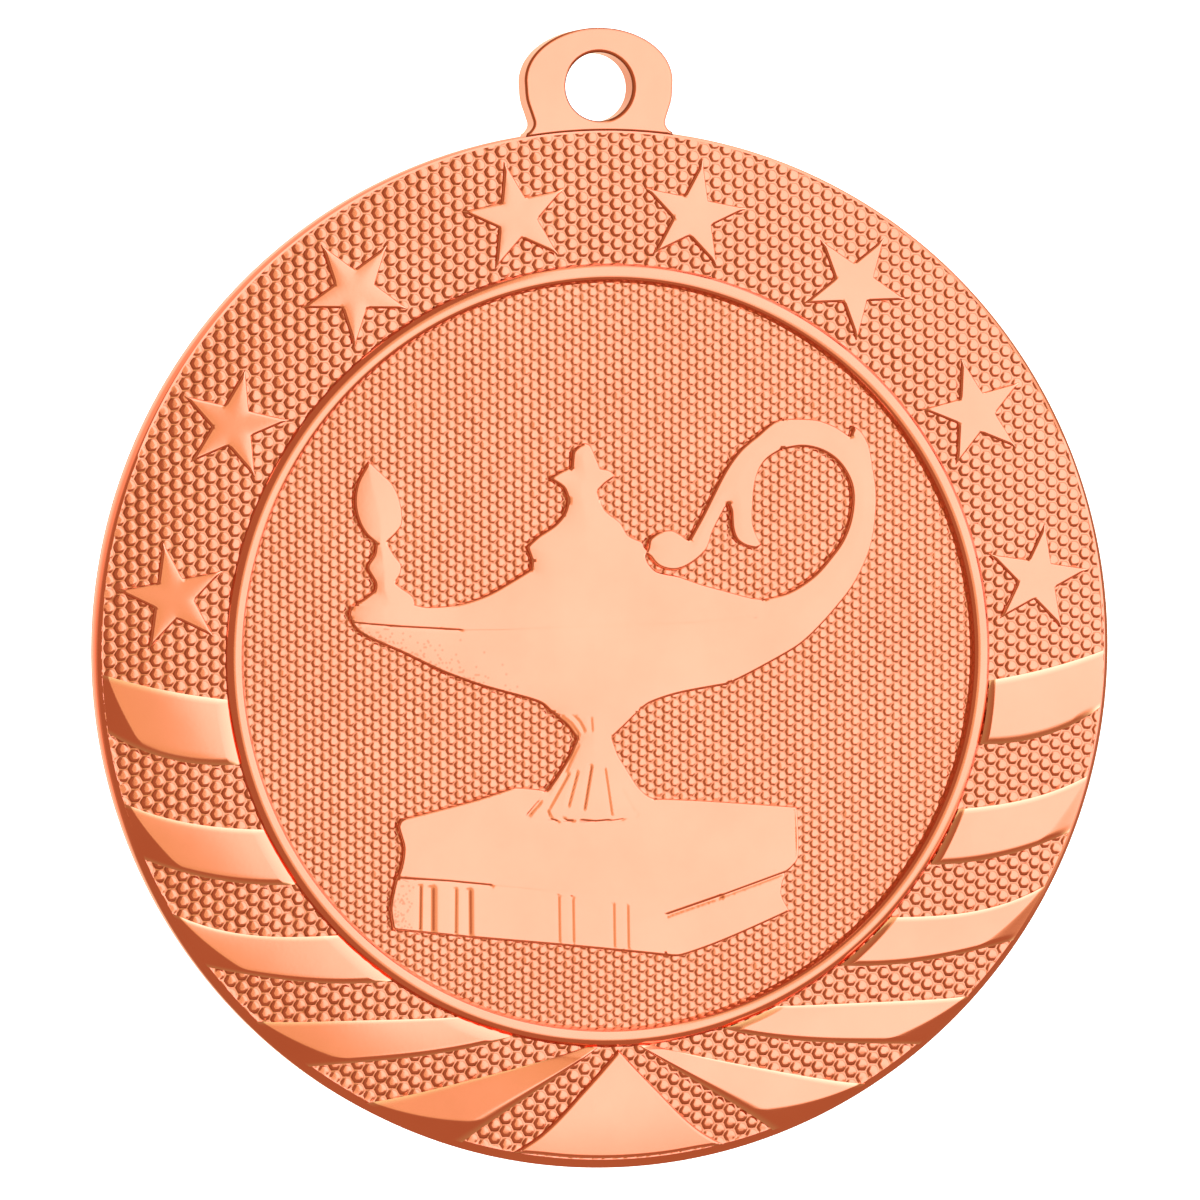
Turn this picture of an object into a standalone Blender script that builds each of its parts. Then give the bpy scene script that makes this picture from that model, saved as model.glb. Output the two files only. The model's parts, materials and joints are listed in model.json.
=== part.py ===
"""Cast academic award medal: a beaded disc with stars, rays and a lamp of knowledge on two books.

Metres, +Z up. The obverse faces -Y and X runs to the right. The origin is the centre of the
ribbon hole in the lug. Outlines below are in millimetres from the disc's centre (x right, z up),
and heights are millimetres above the flat back.
"""
import math

import bmesh
import bpy
from mathutils import Vector
from mathutils.geometry import delaunay_2d_cdt

MM = 0.001

# Disc and lug
DISC_R = 25.4
BACK_BEVEL = 0.25
WALL_TOP = 1.45
RIM_R = 25.12
RIM_H = 1.70
SEAT_H = 1.20
LUG_X = -0.15
HOLE_Z = 27.46
HOLE_R = 1.62
LUG_BACK = 0.25
LUG_FACE = 1.80
LUG_HALF_W = 3.70
LUG_TOP_B = 2.58
LUG_WIDE_Z = 27.75

# The art sits a little low on the blank
ART_Z = -0.285

# Fields and ring
RING_IN = 18.19
RING_OUT = 19.18
RING_CREST = 2.28
# Across the ring from outside: share of its width, and height
RING_SECTION = [(1.00, 1.91), (0.93, 2.00), (0.84, 2.10), (0.75, 2.18), (0.66, 2.235), (0.55, RING_CREST),
                (0.42, 2.275), (0.31, 2.255), (0.24, 2.22), (0.17, 2.14), (0.09, 2.00), (0.00, 1.82)]
FIELD_H = 2.00
FIELD_FALL = 0.30
CENTRE_H = 1.80
LAMP_H = 2.18
BOOK_H = 2.15
GAP = 0.02

# Stars
STAR_COUNT = 8
STAR_PITCH_DEG = 23.23
STAR_ORBIT = 21.88
STAR_R = 2.75
STAR_WAIST = 1.05
STAR_RISE = 0.20
STAR_EDGE = 0.15

# Rays
RAY_RISE = 0.34
RAY_LIP = 0.06
RAY_END_R = 25.08

SEGMENTS = 120
MID_H = 0.5 * (LUG_BACK + LUG_FACE)
COPPER = (0.93, 0.50, 0.31, 1.0)


def dome(x, z):
    """Height of the outer field: nearly flat at the ring, falling towards the rim."""
    reach = max(0.0, math.hypot(x, z) - RING_OUT) / (RIM_R - RING_OUT)
    return FIELD_H - FIELD_FALL * reach * reach


def place(x, z, h):
    """A point in millimetres from the disc's centre, as metres from the ribbon hole."""
    return Vector(((x - LUG_X) * MM, (MID_H - h) * MM, (z - HOLE_Z) * MM))


def finish(name, bm, smooth_deg=30.0):
    """Turn a closed bmesh into a named node with its own metal."""
    bmesh.ops.recalc_face_normals(bm, faces=bm.faces)
    mesh = bpy.data.meshes.new(name)
    bm.to_mesh(mesh)
    bm.free()
    metal = bpy.data.materials.new(name)
    metal.use_nodes = True
    shader = metal.node_tree.nodes["Principled BSDF"]
    shader.inputs["Base Color"].default_value = COPPER
    shader.inputs["Metallic"].default_value = 1.0
    shader.inputs["Roughness"].default_value = 0.28
    mesh.materials.append(metal)
    mesh.shade_smooth()
    mesh.set_sharp_from_angle(angle=math.radians(smooth_deg))
    node = bpy.data.objects.new(name, mesh)
    bpy.context.collection.objects.link(node)
    return node


def lathe(name, profile, centre_z=0.0):
    """Revolve a closed outline of (radius, height) about the disc's normal."""
    bm = bmesh.new()
    rings = []
    for radius, height in profile:
        if radius < 1e-6:
            rings.append([bm.verts.new(place(0.0, centre_z, height))])
            continue
        ring = []
        for k in range(SEGMENTS):
            a = 2.0 * math.pi * k / SEGMENTS
            ring.append(bm.verts.new(place(radius * math.cos(a), centre_z + radius * math.sin(a), height)))
        rings.append(ring)
    for low, high in zip(rings, rings[1:] + rings[:1]):
        if len(low) == 1 and len(high) == 1:
            continue
        for k in range(SEGMENTS):
            n = (k + 1) % SEGMENTS
            corners = [low[k % len(low)], low[n % len(low)], high[n % len(high)], high[k % len(high)]]
            bm.faces.new(list(dict.fromkeys(corners)))
    return finish(name, bm)


def curve(points, steps=4):
    """A smooth line through the points, without overshoot where a long span meets a short one."""
    knots = [Vector(p) for p in points]
    last = len(knots) - 1
    slopes = [(knots[min(i + 1, last)] - knots[max(i - 1, 0)]).normalized() for i in range(last + 1)]
    line = []
    for i in range(last):
        b, c = knots[i], knots[i + 1]
        span = (c - b).length
        for s in range(steps):
            t = s / steps
            point = b * (2 * t ** 3 - 3 * t ** 2 + 1) + c * (3 * t ** 2 - 2 * t ** 3)
            point += slopes[i] * span * (t ** 3 - 2 * t ** 2 + t) + slopes[i + 1] * span * (t ** 3 - t ** 2)
            line.append(tuple(point))
    line.append(tuple(points[-1]))
    return line


def arc(cx, cz, rx, rz, start_deg, end_deg, steps):
    """Points along an ellipse."""
    line = []
    for k in range(steps + 1):
        a = math.radians(start_deg + (end_deg - start_deg) * k / steps)
        line.append((cx + rx * math.cos(a), cz + rz * math.sin(a)))
    return line


def edge_distance(x, z, loops):
    """Distance from a point to the nearest outline edge."""
    best = 1e9
    for loop in loops:
        for (ax, az), (bx, bz) in zip(loop, loop[1:] + loop[:1]):
            dx, dz = bx - ax, bz - az
            span = dx * dx + dz * dz
            t = 0.0 if span == 0 else max(0.0, min(1.0, ((x - ax) * dx + (z - az) * dz) / span))
            best = min(best, math.hypot(x - ax - t * dx, z - az - t * dz))
    return best


def inside(x, z, loop):
    """Whether a point lies inside an outline."""
    hit = False
    for (ax, az), (bx, bz) in zip(loop, loop[1:] + loop[:1]):
        if (az > z) != (bz > z) and x < (bx - ax) * (z - az) / (bz - az) + ax:
            hit = not hit
    return hit


def inset(loop, width):
    """Points one width inside an outline, left out where the shape is too narrow."""
    area = sum(a[0] * b[1] - b[0] * a[1] for a, b in zip(loop, loop[1:] + loop[:1]))
    turn = 1.0 if area > 0 else -1.0
    found = []
    for i, (x, z) in enumerate(loop):
        ax, az = loop[i - 1]
        bx, bz = loop[(i + 1) % len(loop)]
        u = Vector((x - ax, z - az)).normalized()
        v = Vector((bx - x, bz - z)).normalized()
        side = Vector((-(u.y + v.y), u.x + v.x)) * turn
        if side.length < 1e-6:
            continue
        side.normalize()
        lean = max(0.35, abs(side.dot(Vector((-u.y, u.x)))))
        px = x + side.x * width / lean
        pz = z + side.y * width / lean
        if inside(px, pz, loop) and edge_distance(px, pz, [loop]) > 0.9 * width:
            if all(math.hypot(px - q[0], pz - q[1]) > 0.35 * width for q in found):
                found.append((px, pz))
    return found


def relief(name, loop, base, top, edge, step, hole=None):
    """A raised shape: outline, walls and a top whose height depends on the distance from the edge."""
    loops = [loop] + ([hole] if hole else [])
    points = list(loop)
    faces = [list(range(len(loop)))]
    rim = [list(range(len(loop)))]
    edges = []
    if hole:
        start = len(points)
        points += hole
        rim.append(list(range(start, len(points))))
        edges = list(zip(rim[1], rim[1][1:] + rim[1][:1]))
    extra = inset(loop, edge)
    if hole:
        extra += [(x, z) for x, z in arc(LUG_X, HOLE_Z, HOLE_R + edge, HOLE_R + edge, 0, 360, len(hole))[:-1]]
    low_x = min(p[0] for p in loop)
    low_z = min(p[1] for p in loop)
    rows = int((max(p[1] for p in loop) - low_z) / (step * 0.866)) + 1
    cols = int((max(p[0] for p in loop) - low_x) / step) + 2
    for j in range(rows):
        for i in range(cols):
            x = low_x + step * (i + 0.5 * (j % 2))
            z = low_z + step * 0.866 * (j + 0.5)
            if not inside(x, z, loop) or (hole and inside(x, z, hole)):
                continue
            if edge_distance(x, z, loops) > edge + 0.45 * step:
                extra.append((x, z))
    points += extra
    made = delaunay_2d_cdt([Vector(p) for p in points], edges, faces, 1, 1e-7)
    coords, tris, source = made[0], made[2], made[3]
    index = {}
    for out, origin in enumerate(source):
        for k in origin:
            index[k] = out
    bm = bmesh.new()
    upper = []
    lower = []
    for x, z in coords:
        d = edge_distance(x, z, loops)
        upper.append(bm.verts.new(place(x, z, top(x, z, d))))
        lower.append(bm.verts.new(place(x, z, base(x, z))))
    for tri in tris:
        cx = sum(coords[k][0] for k in tri) / len(tri)
        cz = sum(coords[k][1] for k in tri) / len(tri)
        if hole and inside(cx, cz, hole):
            continue
        bm.faces.new([upper[k] for k in tri])
        bm.faces.new([lower[k] for k in reversed(tri)])
    for ring in rim:
        for a, b in zip(ring, ring[1:] + ring[:1]):
            a, b = index[a], index[b]
            bm.faces.new([lower[a], lower[b], upper[b], upper[a]])
    bmesh.ops.delete(bm, geom=[v for v in bm.verts if not v.link_faces], context="VERTS")
    return finish(name, bm)


def flat_top(low, high, edge):
    """A flat top with a sloping edge."""
    return lambda x, z, d: low + (high - low) * min(1.0, d / edge)


def level(height):
    """A flat underside."""
    return lambda x, z: height


def clear_scene():
    for obj in list(bpy.data.objects):
        bpy.data.objects.remove(obj, do_unlink=True)


def build_disc():
    """The blank, the two fields and the ring between them."""
    lathe("planchet", [
        (0.0, 0.0), (DISC_R - BACK_BEVEL, 0.0), (DISC_R, BACK_BEVEL), (DISC_R, WALL_TOP),
        (DISC_R - 0.07, WALL_TOP + 0.14), (DISC_R - 0.22, WALL_TOP + 0.22), (RIM_R, RIM_H),
        (RIM_R, SEAT_H), (0.0, SEAT_H),
    ])
    bm = bmesh.new()
    spans = 6
    loops = []
    for k in range(SEGMENTS):
        a = 2.0 * math.pi * k / SEGMENTS
        inner = ((RING_OUT + GAP) * math.cos(a), ART_Z + (RING_OUT + GAP) * math.sin(a))
        outer = ((RIM_R - GAP) * math.cos(a), (RIM_R - GAP) * math.sin(a))
        line = [bm.verts.new(place(inner[0], inner[1], SEAT_H + GAP))]
        for s in range(spans + 1):
            x = inner[0] + (outer[0] - inner[0]) * s / spans
            z = inner[1] + (outer[1] - inner[1]) * s / spans
            line.append(bm.verts.new(place(x, z, dome(x, z))))
        line.append(bm.verts.new(place(outer[0], outer[1], SEAT_H + GAP)))
        loops.append(line)
    for line, after in zip(loops, loops[1:] + loops[:1]):
        for k in range(len(line)):
            n = (k + 1) % len(line)
            bm.faces.new([line[k], line[n], after[n], after[k]])
    finish("outer_field", bm)
    profile = [(RING_IN, SEAT_H + GAP), (RING_OUT, SEAT_H + GAP)]
    profile += [(RING_IN + share * (RING_OUT - RING_IN), height) for share, height in RING_SECTION]
    lathe("inner_ring", profile, ART_Z)
    field_r = RING_IN - GAP
    lathe("centre_field", [
        (0.0, SEAT_H + GAP), (field_r, SEAT_H + GAP), (field_r, CENTRE_H), (0.0, CENTRE_H),
    ], ART_Z)


def build_lug():
    """The flat lug with its ribbon hole, standing on the disc's edge."""
    seat = DISC_R + GAP
    sides = []
    for side in (1, -1):
        end_x = LUG_X + 3.80 * side
        flank = [(LUG_HALF_W, LUG_WIDE_Z), (3.63, 26.85), (3.38, 26.05), (3.29, 25.66), (3.46, 25.34)]
        flank = [(LUG_X + x * side, z) for x, z in flank]
        flank.append((end_x, math.sqrt(seat * seat - end_x * end_x)))
        sides.append(curve(flank)[1:-1])
    outline = arc(LUG_X, LUG_WIDE_Z, LUG_HALF_W, LUG_TOP_B, 180, 0, 32)
    outline += sides[0]
    for k in range(13):
        x = LUG_X + 3.80 - 7.60 * k / 12
        outline.append((x, math.sqrt(seat * seat - x * x)))
    outline += reversed(sides[1])
    outline.reverse()
    hole = arc(LUG_X, HOLE_Z, HOLE_R, HOLE_R, 0, 360, 40)[:-1]
    relief("suspension_lug", outline, level(LUG_BACK), flat_top(LUG_FACE - 0.10, LUG_FACE, 0.12),
           0.12, 1.2, hole)


def build_stars():
    """Eight five-pointed stars, each with one point outwards, lying on the domed field."""
    for k in range(STAR_COUNT):
        bearing = math.radians(90.0 + STAR_PITCH_DEG * (0.5 * (STAR_COUNT - 1) - k))
        cx = STAR_ORBIT * math.cos(bearing)
        cz = ART_Z + STAR_ORBIT * math.sin(bearing)
        loop = []
        for p in range(10):
            a = bearing + math.pi * p / 5
            r = STAR_R if p % 2 == 0 else STAR_WAIST
            loop.append((cx + r * math.cos(a), cz + r * math.sin(a)))
        radius = math.hypot(cx, cz)
        ux, uz = cx / radius, cz / radius
        seat = dome(cx, cz) + 0.01
        slope = (dome(cx + 0.1 * ux, cz + 0.1 * uz) - dome(cx - 0.1 * ux, cz - 0.1 * uz)) / 0.2

        def base(x, z, cx=cx, cz=cz, ux=ux, uz=uz, seat=seat, slope=slope):
            return seat + slope * ((x - cx) * ux + (z - cz) * uz)

        def top(x, z, d, base=base):
            return base(x, z) + 0.08 + (STAR_RISE - 0.08) * min(1.0, d / STAR_EDGE)

        relief("star_%d" % (k + 1), loop, base, top, STAR_EDGE, 2.0)


# Upper and lower edge of each right-hand ray, from the ring to the rim, from the art's centre
RAYS = [
    ([(19.12, -1.68), (22.30, -1.12), (25.00, -0.35)], [(18.60, -4.85), (22.00, -4.50), (24.75, -3.20)]),
    ([(17.45, -8.02), (20.80, -7.65), (24.30, -6.60)], [(15.95, -10.75), (20.00, -10.35), (23.00, -9.30)]),
    ([(13.90, -13.28), (18.20, -13.10), (22.10, -12.00)],
     [(11.25, -15.60), (16.30, -15.40), (19.90, -14.50)]),
    ([(8.05, -17.48), (13.00, -17.42), (18.00, -17.35)], [(5.30, -18.55), (10.00, -19.28), (15.20, -19.50)]),
    ([(1.60, -19.16), (7.00, -20.45), (12.55, -21.50)], [(1.05, -19.22), (4.30, -21.25), (7.75, -23.40)]),
]


def meet_circle(line, radius, centre_z, last):
    """Move a line's first or last point along its radius onto a circle."""
    k = -1 if last else 0
    x, z = line[k]
    far = math.hypot(x, z - centre_z)
    line[k] = (x * radius / far, centre_z + (z - centre_z) * radius / far)


def build_ray(name, upper, lower, mirror):
    """One ray: flush with the beads along its upper edge, proud along its lower edge."""
    top_line = curve([(x, z + ART_Z) for x, z in upper], steps=5)
    low_line = curve([(x, z + ART_Z) for x, z in lower], steps=5)
    for line in (top_line, low_line):
        meet_circle(line, RING_OUT + 0.03, ART_Z, False)
        meet_circle(line, RAY_END_R, 0.0, True)
    across = [0.0, 0.30, 0.60, 0.85, 1.0]
    rise = [RAY_LIP, 0.16, 0.27, RAY_RISE, RAY_RISE - 0.06]
    bm = bmesh.new()
    tops = []
    seats = []
    count = len(top_line)
    for i, (a, b) in enumerate(zip(top_line, low_line)):
        along = i / (count - 1)
        fade = 1.0 if along < 0.7 else 1.0 - 0.80 * ((along - 0.7) / 0.3) ** 2
        row = []
        under = []
        for v, lift in zip(across, rise):
            x = a[0] + (b[0] - a[0]) * v
            z = a[1] + (b[1] - a[1]) * v
            bow = 4.0 * v * (1.0 - v)
            if i == count - 1:
                far = math.hypot(x, z)
                x, z = x * RAY_END_R / far, z * RAY_END_R / far
            elif i == 0 and bow:
                far = math.hypot(x, z - ART_Z)
                near = RING_OUT + 0.03
                x, z = x * near / far, ART_Z + (z - ART_Z) * near / far
            seat = dome(x, z) + 0.01
            side = -x if mirror else x
            row.append(bm.verts.new(place(side, z, seat + 0.03 + lift * fade)))
            under.append(bm.verts.new(place(side, z, seat)))
        tops.append(row)
        seats.append(under)
    for sheet in (tops, seats):
        for one, two in zip(sheet, sheet[1:]):
            for k in range(len(across) - 1):
                bm.faces.new([one[k], one[k + 1], two[k + 1], two[k]])
    for k in range(len(across) - 1):
        bm.faces.new([tops[0][k], tops[0][k + 1], seats[0][k + 1], seats[0][k]])
        bm.faces.new([tops[-1][k], tops[-1][k + 1], seats[-1][k + 1], seats[-1][k]])
    for i in range(count - 1):
        for k in (0, -1):
            bm.faces.new([tops[i][k], tops[i + 1][k], seats[i + 1][k], seats[i][k]])
    finish(name, bm)


def build_rays():
    """Five mirrored pairs of rays and the fan at the bottom."""
    for k, (upper, lower) in enumerate(RAYS):
        build_ray("ray_right_%d" % (k + 1), upper, lower, False)
        build_ray("ray_left_%d" % (k + 1), upper, lower, True)
    right = curve([(0.0, -19.25), (1.00, -20.35), (2.05, -21.45), (3.05, -22.50), (4.10, -23.42),
                   (5.30, -24.15)], steps=2)
    right = [(x, z + ART_Z) for x, z in right]
    foot = []
    for k in range(1, 8):
        x = 5.30 - 10.60 * k / 8
        foot.append((x, -math.sqrt(24.90 ** 2 - x * x)))
    left = [(-x, z) for x, z in reversed(right[1:])]
    loop = right + foot + left
    loop.reverse()
    relief("ray_bottom", loop, lambda x, z: dome(x, z) + 0.01,
           lambda x, z, d: dome(x, z) + 0.09 + 0.20 * min(1.0, d / 0.3), 0.3, 1.5)


# Outlines of the lamp and the books. Pieces that meet share the points along their joint.
OUTLINES = {
    "flame": [(-11.95, 9.45), (-11.22, 8.76), (-10.72, 8.22), (-10.38, 7.30), (-10.34, 6.36), (-10.62, 5.88),
              (-11.08, 5.46), (-11.72, 5.46), (-12.18, 5.86), (-12.56, 6.56), (-12.72, 7.50),
              (-12.54, 8.45)],
    "burner": [(-11.72, 5.46), (-11.08, 5.46), (-10.79, 4.93), (-10.38, 4.40), (-10.46, 3.92), (-10.70, 3.48),
               (-10.30, 3.18), (-9.86, 2.84), (-9.72, 2.42), (-12.98, 2.42), (-12.36, 2.78), (-11.80, 3.18),
               (-11.78, 3.52), (-12.12, 4.12), (-12.12, 4.44), (-11.80, 4.92)],
    "lamp_bowl": [(-13.05, 1.80), (-12.70, 1.24), (-12.00, 0.78), (-10.50, 0.10), (-8.56, -0.86),
                  (-6.60, -1.62), (-4.70, -2.18), (-3.60, -2.56), (-3.14, -3.00), (1.36, -3.00),
                  (1.84, -2.68), (3.14, -2.28), (4.65, -2.02), (5.78, -1.86), (7.25, 1.42),
                  (3.94, 1.18), (-0.80, 1.08), (-5.56, 1.08), (-10.51, 1.32)],
    "lamp_shoulder": [(-13.10, 2.10), (-13.05, 1.80), (-10.51, 1.32), (-5.56, 1.08), (-0.80, 1.08),
                      (3.94, 1.18), (7.25, 1.42), (7.66, 2.33), (6.98, 2.42), (5.73, 2.78), (4.48, 3.14),
                      (3.30, 3.56), (2.30, 3.80), (1.86, 4.28), (1.76, 4.66), (-1.20, 4.48),
                      (-4.00, 4.44), (-4.02, 4.06), (-5.27, 3.35), (-6.27, 2.84), (-7.77, 2.40),
                      (-9.20, 2.32), (-9.72, 2.42), (-12.98, 2.42)],
    "lamp_lid": [(-4.00, 4.44), (-1.20, 4.48), (1.76, 4.66), (1.66, 5.24), (0.90, 5.60), (0.52, 6.22),
                 (-0.20, 6.80), (-0.46, 7.34), (-2.14, 7.34), (-2.34, 6.72), (-2.90, 6.12),
                 (-3.64, 5.66), (-4.24, 5.14)],
    "lid_finial": [(-2.14, 7.34), (-0.46, 7.34), (-0.60, 7.72), (-0.20, 8.10), (0.34, 8.44), (0.05, 8.76),
                   (-0.45, 8.88), (-0.72, 9.58), (-0.94, 10.02), (-1.20, 10.14), (-1.54, 10.00),
                   (-1.86, 9.74), (-1.94, 8.95), (-2.44, 8.80), (-3.10, 8.42), (-2.36, 7.94)],
    "handle_scroll": [(1.90, 5.40), (1.82, 4.84), (2.02, 4.36), (2.46, 3.96), (3.23, 3.80), (4.00, 4.08),
                      (4.80, 4.75), (5.12, 5.58), (5.90, 7.00), (6.02, 6.66), (6.06, 5.90), (6.27, 5.26),
                      (6.77, 4.90), (7.36, 4.76), (7.62, 4.98), (7.38, 5.42), (7.18, 6.02), (7.20, 7.00),
                      (7.31, 7.98), (7.58, 8.70), (8.00, 9.19), (8.68, 9.58), (8.80, 11.15), (8.20, 10.98),
                      (7.46, 10.40), (6.58, 9.70), (5.82, 8.74), (5.15, 7.54), (4.62, 6.54), (3.90, 5.30),
                      (3.11, 5.78), (2.36, 5.70)],
    "handle_arm": [(8.68, 9.58), (9.62, 9.72), (10.53, 9.56), (11.29, 9.13), (11.80, 8.53), (12.13, 7.76),
                   (12.17, 6.90), (11.98, 5.93), (11.60, 5.08), (11.04, 4.34), (10.30, 3.54),
                   (9.52, 2.98), (8.70, 2.58), (7.66, 2.33), (7.25, 1.42), (5.78, -1.86), (6.93, -1.34),
                   (8.20, -0.70), (9.46, 0.00), (10.52, 0.92), (11.50, 1.96), (12.22, 2.86),
                   (12.90, 4.14), (13.26, 5.28), (13.44, 6.64), (13.45, 7.64), (13.32, 8.62),
                   (13.10, 9.82), (12.70, 10.50), (12.34, 10.74), (12.14, 10.24), (11.41, 10.72),
                   (10.40, 11.08), (8.80, 11.15)],
    "lamp_foot": [(-3.14, -3.00), (-2.36, -3.60), (-1.88, -4.26), (-2.26, -5.10), (-2.82, -5.96),
                  (-3.40, -6.74), (-4.14, -7.58), (-4.44, -7.96), (-3.46, -8.18), (-1.60, -8.34),
                  (0.38, -8.24), (1.40, -7.92), (2.06, -7.30), (1.66, -7.14), (1.16, -6.64), (0.70, -5.90),
                  (0.22, -5.10), (-0.06, -4.30), (0.62, -3.70), (1.36, -3.00)],
    "upper_book": [(-10.66, -7.93), (-7.18, -7.15), (-5.30, -6.62), (-4.90, -6.56), (-3.40, -6.74),
                   (-4.14, -7.58), (-4.44, -7.96), (-3.46, -8.18), (-1.60, -8.34), (0.38, -8.24),
                   (1.40, -7.92), (2.06, -7.30), (4.31, -7.45), (9.21, -7.91), (9.22, -10.47),
                   (8.66, -11.10), (2.45, -12.95), (0.72, -12.35), (-3.02, -11.77), (-6.25, -11.27),
                   (-10.98, -10.84), (-10.74, -10.30), (-10.60, -9.30), (-10.84, -8.34)],
    "lower_book_spine": [(-10.98, -10.84), (-6.25, -11.27), (-3.02, -11.77), (0.72, -12.35), (2.45, -12.95),
                         (2.45, -15.05), (1.18, -14.88), (-2.82, -14.38), (-7.29, -13.86),
                         (-11.15, -13.36), (-11.28, -12.24)],
    "lower_book_pages": [(2.45, -12.95), (8.66, -11.10), (8.46, -11.56), (8.36, -12.20),
                         (8.78, -13.06), (5.72, -14.29), (3.20, -15.09), (2.45, -15.05)],
}
CORNER_DEG = 42.0
JOINT_GAP = 0.012


def owners(point):
    """The pieces whose outline holds a point."""
    return {name for name, loop in OUTLINES.items() if point in loop}


def rounded(name):
    """A piece's outline with smooth stretches between its corners and the ends of its joints."""
    loop = OUTLINES[name]
    count = len(loop)
    corners = []
    for i, point in enumerate(loop):
        before, after = loop[i - 1], loop[(i + 1) % count]
        turn = math.atan2(after[1] - point[1], after[0] - point[0])
        turn -= math.atan2(point[1] - before[1], point[0] - before[0])
        turn = abs((math.degrees(turn) + 180.0) % 360.0 - 180.0)
        others = owners(point) - {name}
        joint_end = others and not others & owners(before) & owners(after)
        if turn > CORNER_DEG or joint_end:
            corners.append(i)
    line = []
    for start, end in zip(corners, corners[1:] + [corners[0] + count]):
        stretch = [loop[k % count] for k in range(start, end + 1)]
        line += curve(stretch, steps=2)[:-1] if len(stretch) > 2 else stretch[:1]
    area = sum(a[0] * b[1] - b[0] * a[1] for a, b in zip(line, line[1:] + line[:1]))
    return line if area > 0 else line[::-1]


def shrunk(loop, gap):
    """The same outline moved inwards by a hair, so that neighbours don't touch."""
    moved = []
    for i, (x, z) in enumerate(loop):
        before, after = loop[i - 1], loop[(i + 1) % len(loop)]
        u = Vector((x - before[0], z - before[1])).normalized()
        v = Vector((after[0] - x, after[1] - z)).normalized()
        side = Vector((-(u.y + v.y), u.x + v.x)).normalized()
        lean = max(0.35, side.dot(Vector((-u.y, u.x))))
        moved.append((x + side.x * gap / lean, z + side.y * gap / lean))
    return moved


def build_lamp():
    """Flame, burner, bowl, shoulder, lid, finial, handle in two pieces, foot and books, in low relief."""
    tops = {name: flat_top(2.00, LAMP_H, 0.14) for name in OUTLINES}
    tops["upper_book"] = flat_top(1.98, BOOK_H, 0.14)
    tops["lower_book_spine"] = flat_top(1.98, BOOK_H - 0.03, 0.14)
    tops["lower_book_pages"] = flat_top(1.96, BOOK_H - 0.06, 0.14)
    for name, top in tops.items():
        relief(name, shrunk(rounded(name), JOINT_GAP), level(CENTRE_H + 0.01), top, 0.16, 1.1)


clear_scene()
build_disc()
build_lug()
build_stars()
build_rays()
build_lamp()
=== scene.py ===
"""Looks of the copper award medal: beads, stars, rays, lamp and books as fine metal surfaces.

Shapes are worked in millimetres from the disc's centre: x right, z up, and h above the flat back.
"""
import json
import math

import bpy
import numpy as np
from mathutils import Matrix, Vector
from mathutils.geometry import delaunay_2d_cdt

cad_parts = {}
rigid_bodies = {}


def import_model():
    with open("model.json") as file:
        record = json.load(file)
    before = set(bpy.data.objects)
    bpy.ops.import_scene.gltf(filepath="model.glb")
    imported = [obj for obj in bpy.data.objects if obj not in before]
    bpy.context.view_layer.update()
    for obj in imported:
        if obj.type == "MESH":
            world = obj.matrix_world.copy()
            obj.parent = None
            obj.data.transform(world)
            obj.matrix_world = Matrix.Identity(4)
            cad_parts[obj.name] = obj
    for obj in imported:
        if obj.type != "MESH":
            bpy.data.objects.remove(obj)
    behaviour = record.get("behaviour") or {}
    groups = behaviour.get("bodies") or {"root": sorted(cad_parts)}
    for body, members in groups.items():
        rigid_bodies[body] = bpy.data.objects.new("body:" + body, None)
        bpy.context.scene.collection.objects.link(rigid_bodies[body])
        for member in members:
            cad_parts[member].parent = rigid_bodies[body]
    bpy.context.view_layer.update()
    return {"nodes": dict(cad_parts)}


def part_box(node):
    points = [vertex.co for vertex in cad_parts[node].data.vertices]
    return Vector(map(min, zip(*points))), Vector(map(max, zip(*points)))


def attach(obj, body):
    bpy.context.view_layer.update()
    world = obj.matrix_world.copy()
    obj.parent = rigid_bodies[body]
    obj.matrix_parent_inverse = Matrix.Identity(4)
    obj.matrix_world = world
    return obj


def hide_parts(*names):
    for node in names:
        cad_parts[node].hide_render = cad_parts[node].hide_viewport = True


# Blender's own starting objects are no part of the medal
for start_object in list(bpy.data.objects):
    bpy.data.objects.remove(start_object, do_unlink=True)
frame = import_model()

MM = 0.001
disc_low, disc_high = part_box("planchet")
CENTRE_X = 0.5 * (disc_low.x + disc_high.x) / MM
CENTRE_Z = 0.5 * (disc_low.z + disc_high.z) / MM
BACK_Y = disc_high.y / MM
DISC_R = 0.5 * (disc_high.x - disc_low.x) / MM

# The art sits a little low on the blank
ART_Z = -0.285

# The blank: its flat under the beads, the top of its side wall, and its rim
SEAT_H = 1.20
WALL_TOP = 1.38
RIM_H = 1.70

# The raised ring, then its section from outside to inside: share of its width from the inside, and height
RING_IN = 18.19
RING_OUT = 19.18
RING_SECTION = [(1.00, 1.91), (0.95, 2.00), (0.88, 2.10), (0.80, 2.18), (0.72, 2.235), (0.61, 2.27),
                (0.46, 2.28), (0.31, 2.265), (0.22, 2.24), (0.15, 2.17), (0.08, 2.03), (0.00, 1.82)]

# The beads' outer circle sits a little high on the disc, so the rim is wider at the bottom
BAND_R = 25.14
BAND_Z = 0.18

# The outer field falls from the ring to RIM_R, and the inner one is flat
RIM_R = 25.12
FIELD_H = 2.00
FIELD_FALL = 0.30
CENTRE_H = 1.80
RAY_END_R = 25.08

# The lug: its two faces, how far its foot reaches into the rim, and how much wider its bore is worn
LUG_FACE = 1.80
LUG_BACK = 0.25
LUG_FOOT_IN = 0.09
BORE_WORN = 1.03

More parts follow.
